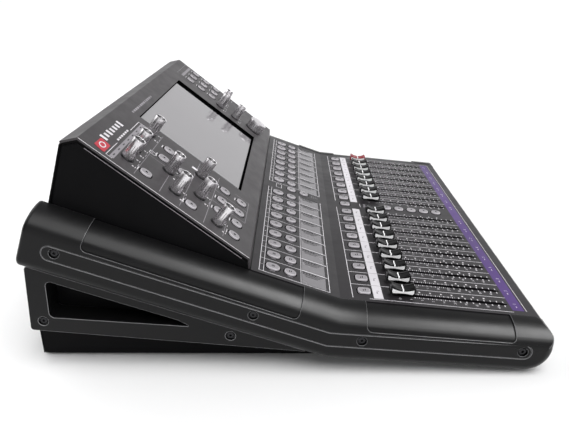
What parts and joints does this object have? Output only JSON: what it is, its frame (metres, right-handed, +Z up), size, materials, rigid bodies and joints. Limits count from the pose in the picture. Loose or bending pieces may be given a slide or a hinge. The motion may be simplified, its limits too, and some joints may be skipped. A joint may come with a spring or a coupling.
{
  "type": "mixing console",
  "caption": "Digital mixing console: sloped panel of channel faders and keys, raised touch-screen hood with knobs, bent handrail cheeks and rear sockets.",
  "frame": {"origin": "on the desk, below the middle of the console's bounding box", "axes": "+X to the operator's right, +Y from the operator to the rear, +Z up"},
  "size_m": [0.536, 0.4833, 0.2188],
  "materials": {
    "body_paint": "satin black paint",
    "panel_paint": "matt charcoal paint with a plum cast",
    "hood_paint": "satin black paint",
    "cheek_plastic": "satin black moulding",
    "grip_rubber": "matt soft-touch",
    "screw_steel": "blackened steel",
    "foot_rubber": "matt",
    "screen_glass": "gloss",
    "display_black": "gloss",
    "meter_lens": "smoked",
    "strip_white": "write-on matt white",
    "track_steel": "zinc plated",
    "board_green": "solder mask",
    "psu_case": "folded sheet",
    "socket_black": "satin",
    "socket_metal": "nickel",
    "cap_black": "satin black with white lines",
    "cap_red": "red with white lines",
    "knob_metal": "fine knurl",
    "key_white": "translucent silicone"
  },
  "bodies": {
    "console": {"base_tub": "body_paint", "rear_panel": "body_paint", "hood_side_panels": "body_paint", "hood_frame": "body_paint", "control_panel": "panel_paint", "hood_plate": "hood_paint", "cheek_left": "cheek_plastic", "cheek_right": "cheek_plastic", "legs": "cheek_plastic", "grip_inserts": "grip_rubber", "case_screws": "screw_steel", "rubber_feet": "foot_rubber", "touch_glass": "screen_glass", "display_module": "display_black", "meter_windows": "meter_lens", "scribble_strips": "strip_white", "fader_tracks": "track_steel", "encoder_bodies": "track_steel", "circuit_boards": "board_green", "power_supply": "psu_case", "xlr_inputs": "socket_black", "xlr_outputs": "socket_black", "data_sockets": "socket_metal", "power_inlet": "socket_black"},
    "fader_01": {"fader_01": "cap_black"},
    "fader_02": {"fader_02": "cap_black"},
    "fader_03": {"fader_03": "cap_black"},
    "fader_04": {"fader_04": "cap_black"},
    "fader_05": {"fader_05": "cap_black"},
    "fader_06": {"fader_06": "cap_black"},
    "fader_07": {"fader_07": "cap_black"},
    "fader_08": {"fader_08": "cap_black"},
    "fader_09": {"fader_09": "cap_black"},
    "fader_10": {"fader_10": "cap_black"},
    "fader_11": {"fader_11": "cap_black"},
    "fader_12": {"fader_12": "cap_black"},
    "fader_13": {"fader_13": "cap_black"},
    "fader_14": {"fader_14": "cap_black"},
    "fader_15": {"fader_15": "cap_black"},
    "fader_16": {"fader_16": "cap_black"},
    "fader_master": {"fader_master": "cap_red"},
    "knob_01": {"knob_01": "knob_metal"},
    "knob_02": {"knob_02": "knob_metal"},
    "knob_03": {"knob_03": "knob_metal"},
    "knob_04": {"knob_04": "knob_metal"},
    "knob_05": {"knob_05": "knob_metal"},
    "knob_06": {"knob_06": "knob_metal"},
    "knob_07": {"knob_07": "knob_metal"},
    "knob_08": {"knob_08": "knob_metal"},
    "knob_09": {"knob_09": "knob_metal"},
    "knob_10": {"knob_10": "knob_metal"},
    "knob_11": {"knob_11": "knob_metal"},
    "jog_wheel": {"jog_wheel": "knob_metal"},
    "mute_buttons": {"mute_buttons": "key_white"},
    "select_buttons": {"select_buttons": "key_white"},
    "solo_buttons": {"solo_buttons": "key_white"},
    "layer_buttons": {"layer_buttons": "key_white"},
    "hood_keys_left": {"hood_keys_left": "key_white"},
    "hood_keys_right": {"hood_keys_right": "key_white"},
    "power_switch": {"power_switch": "socket_black"}
  },
  "joints": [
    {"name": "fader_01_slide", "type": "slide", "parent": "console", "child": "fader_01", "axis": [0, -0.9945, -0.1045], "range_m": [0, 0.1]},
    {"name": "fader_02_slide", "type": "slide", "parent": "console", "child": "fader_02", "axis": [0, -0.9945, -0.1045], "range_m": [0, 0.1]},
    {"name": "fader_03_slide", "type": "slide", "parent": "console", "child": "fader_03", "axis": [0, -0.9945, -0.1045], "range_m": [0, 0.1]},
    {"name": "fader_04_slide", "type": "slide", "parent": "console", "child": "fader_04", "axis": [0, -0.9945, -0.1045], "range_m": [0, 0.1]},
    {"name": "fader_05_slide", "type": "slide", "parent": "console", "child": "fader_05", "axis": [0, -0.9945, -0.1045], "range_m": [0, 0.1]},
    {"name": "fader_06_slide", "type": "slide", "parent": "console", "child": "fader_06", "axis": [0, -0.9945, -0.1045], "range_m": [0, 0.1]},
    {"name": "fader_07_slide", "type": "slide", "parent": "console", "child": "fader_07", "axis": [0, -0.9945, -0.1045], "range_m": [0, 0.1]},
    {"name": "fader_08_slide", "type": "slide", "parent": "console", "child": "fader_08", "axis": [0, -0.9945, -0.1045], "range_m": [0, 0.1]},
    {"name": "fader_09_slide", "type": "slide", "parent": "console", "child": "fader_09", "axis": [0, -0.9945, -0.1045], "range_m": [0, 0.1]},
    {"name": "fader_10_slide", "type": "slide", "parent": "console", "child": "fader_10", "axis": [0, -0.9945, -0.1045], "range_m": [0, 0.1]},
    {"name": "fader_11_slide", "type": "slide", "parent": "console", "child": "fader_11", "axis": [0, -0.9945, -0.1045], "range_m": [0, 0.1]},
    {"name": "fader_12_slide", "type": "slide", "parent": "console", "child": "fader_12", "axis": [0, -0.9945, -0.1045], "range_m": [0, 0.1]},
    {"name": "fader_13_slide", "type": "slide", "parent": "console", "child": "fader_13", "axis": [0, -0.9945, -0.1045], "range_m": [0, 0.1]},
    {"name": "fader_14_slide", "type": "slide", "parent": "console", "child": "fader_14", "axis": [0, -0.9945, -0.1045], "range_m": [0, 0.1]},
    {"name": "fader_15_slide", "type": "slide", "parent": "console", "child": "fader_15", "axis": [0, -0.9945, -0.1045], "range_m": [0, 0.1]},
    {"name": "fader_16_slide", "type": "slide", "parent": "console", "child": "fader_16", "axis": [0, -0.9945, -0.1045], "range_m": [0, 0.1]},
    {"name": "fader_master_slide", "type": "slide", "parent": "console", "child": "fader_master", "axis": [0, -0.9945, -0.1045], "range_m": [0, 0.1]},
    {"name": "knob_01_turn", "type": "hinge", "parent": "console", "child": "knob_01", "pos_m": [-0.2104, 0.14386, 0.19283], "axis": [0, -0.6252, 0.7804], "continuous": true},
    {"name": "knob_02_turn", "type": "hinge", "parent": "console", "child": "knob_02", "pos_m": [-0.1808, 0.14386, 0.19283], "axis": [0, -0.6252, 0.7804], "continuous": true},
    {"name": "knob_03_turn", "type": "hinge", "parent": "console", "child": "knob_03", "pos_m": [-0.1236, 0.14308, 0.19221], "axis": [0, -0.6252, 0.7804], "continuous": true},
    {"name": "knob_04_turn", "type": "hinge", "parent": "console", "child": "knob_04", "pos_m": [-0.1788, 0.11498, 0.1697], "axis": [0, -0.6252, 0.7804], "continuous": true},
    {"name": "knob_05_turn", "type": "hinge", "parent": "console", "child": "knob_05", "pos_m": [-0.2104, 0.10367, 0.16063], "axis": [0, -0.6252, 0.7804], "continuous": true},
    {"name": "knob_06_turn", "type": "hinge", "parent": "console", "child": "knob_06", "pos_m": [-0.1376, 0.09157, 0.15094], "axis": [0, -0.6252, 0.7804], "continuous": true},
    {"name": "knob_07_turn", "type": "hinge", "parent": "console", "child": "knob_07", "pos_m": [-0.1848, 0.08572, 0.14625], "axis": [0, -0.6252, 0.7804], "continuous": true},
    {"name": "knob_08_turn", "type": "hinge", "parent": "console", "child": "knob_08", "pos_m": [-0.2144, 0.06621, 0.13062], "axis": [0, -0.6252, 0.7804], "continuous": true},
    {"name": "knob_09_turn", "type": "hinge", "parent": "console", "child": "knob_09", "pos_m": [0.1555, 0.10523, 0.16188], "axis": [0, -0.6252, 0.7804], "continuous": true},
    {"name": "knob_10_turn", "type": "hinge", "parent": "console", "child": "knob_10", "pos_m": [0.186, 0.10523, 0.16188], "axis": [0, -0.6252, 0.7804], "continuous": true},
    {"name": "knob_11_turn", "type": "hinge", "parent": "console", "child": "knob_11", "pos_m": [0.1545, 0.08377, 0.14469], "axis": [0, -0.6252, 0.7804], "continuous": true},
    {"name": "jog_wheel_turn", "type": "hinge", "parent": "console", "child": "jog_wheel", "pos_m": [0.166, 0.05723, 0.12343], "axis": [0, -0.6252, 0.7804], "continuous": true},
    {"name": "mute_buttons_press", "type": "slide", "parent": "console", "child": "mute_buttons", "axis": [0, 0.1045, -0.9945], "range_m": [0, 0.0012], "stiffness_N_per_m": 800, "springref_m": -0.0012},
    {"name": "select_buttons_press", "type": "slide", "parent": "console", "child": "select_buttons", "axis": [0, 0.3469, -0.9379], "range_m": [0, 0.0012], "stiffness_N_per_m": 800, "springref_m": -0.0012},
    {"name": "solo_buttons_press", "type": "slide", "parent": "console", "child": "solo_buttons", "axis": [0, 0.3469, -0.9379], "range_m": [0, 0.0012], "stiffness_N_per_m": 800, "springref_m": -0.0012},
    {"name": "layer_buttons_press", "type": "slide", "parent": "console", "child": "layer_buttons", "axis": [0, 0.1045, -0.9945], "range_m": [0, 0.0012], "stiffness_N_per_m": 800, "springref_m": -0.0012},
    {"name": "hood_keys_left_press", "type": "slide", "parent": "console", "child": "hood_keys_left", "axis": [0, 0.6252, -0.7804], "range_m": [0, 0.0012], "stiffness_N_per_m": 800, "springref_m": -0.0012},
    {"name": "hood_keys_right_press", "type": "slide", "parent": "console", "child": "hood_keys_right", "axis": [0, 0.6252, -0.7804], "range_m": [0, 0.0012], "stiffness_N_per_m": 800, "springref_m": -0.0012},
    {"name": "power_switch_rock", "type": "hinge", "parent": "console", "child": "power_switch", "pos_m": [0.194, 0.234, 0.044], "axis": [-1, 0, 0], "range_deg": [0, 16]}
  ]
}
